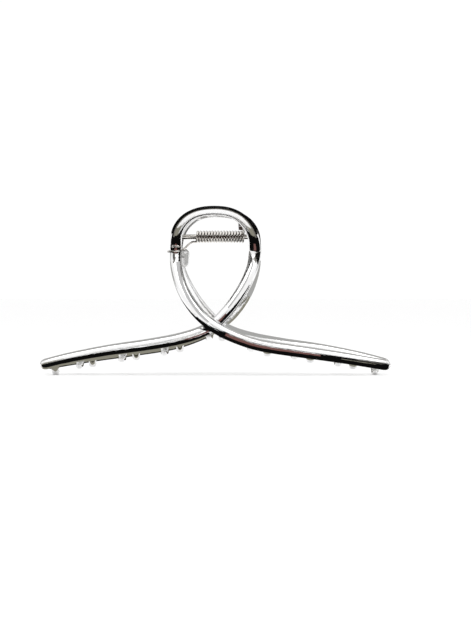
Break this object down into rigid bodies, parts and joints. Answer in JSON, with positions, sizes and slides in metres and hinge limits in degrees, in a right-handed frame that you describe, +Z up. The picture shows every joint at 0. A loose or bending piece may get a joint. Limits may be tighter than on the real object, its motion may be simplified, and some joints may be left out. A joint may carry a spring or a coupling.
{
  "type": "claw hair clip",
  "caption": "Sprung metal claw hair clip: two bent-rod jaws with crossed loops, inward teeth, brazed ears and a coil spring on a hinge pin.",
  "frame": {"origin": "on the surface the clip stands on, below the middle of its bounding box", "axes": "+X along the clip, +Z up from the teeth to the grips, -Y towards the front jaw"},
  "size_m": [0.109, 0.0336, 0.0523],
  "materials": {
    "polished_chrome": "bright polished plating with faint polishing lines",
    "pin_steel": "drawn wire, nickel plated, slightly warm",
    "spring_wire": "nickel-plated spring wire with draw marks"
  },
  "bodies": {
    "rear_jaw": {"rear_frame": "polished_chrome", "rear_left_ear": "polished_chrome", "rear_right_ear": "polished_chrome", "hinge_pin": "pin_steel", "torsion_spring": "spring_wire", "rear_tooth_1": "polished_chrome", "rear_tooth_2": "polished_chrome", "rear_tooth_3": "polished_chrome", "rear_tooth_4": "polished_chrome", "rear_tooth_5": "polished_chrome", "rear_tooth_6": "polished_chrome", "rear_tooth_7": "polished_chrome", "rear_tooth_8": "polished_chrome"},
    "front_jaw": {"front_frame": "polished_chrome", "front_left_ear": "polished_chrome", "front_right_ear": "polished_chrome", "front_tooth_1": "polished_chrome", "front_tooth_2": "polished_chrome", "front_tooth_3": "polished_chrome", "front_tooth_4": "polished_chrome", "front_tooth_5": "polished_chrome", "front_tooth_6": "polished_chrome", "front_tooth_7": "polished_chrome", "front_tooth_8": "polished_chrome"}
  },
  "joints": [
    {"name": "jaw_hinge", "type": "hinge", "parent": "rear_jaw", "child": "front_jaw", "pos_m": [0, 0, 0.043], "axis": [-1, 0, 0], "range_deg": [0, 65], "stiffness_Nm_per_rad": 0.1, "springref_deg": -45.84, "deforming": ["torsion_spring"]}
  ]
}
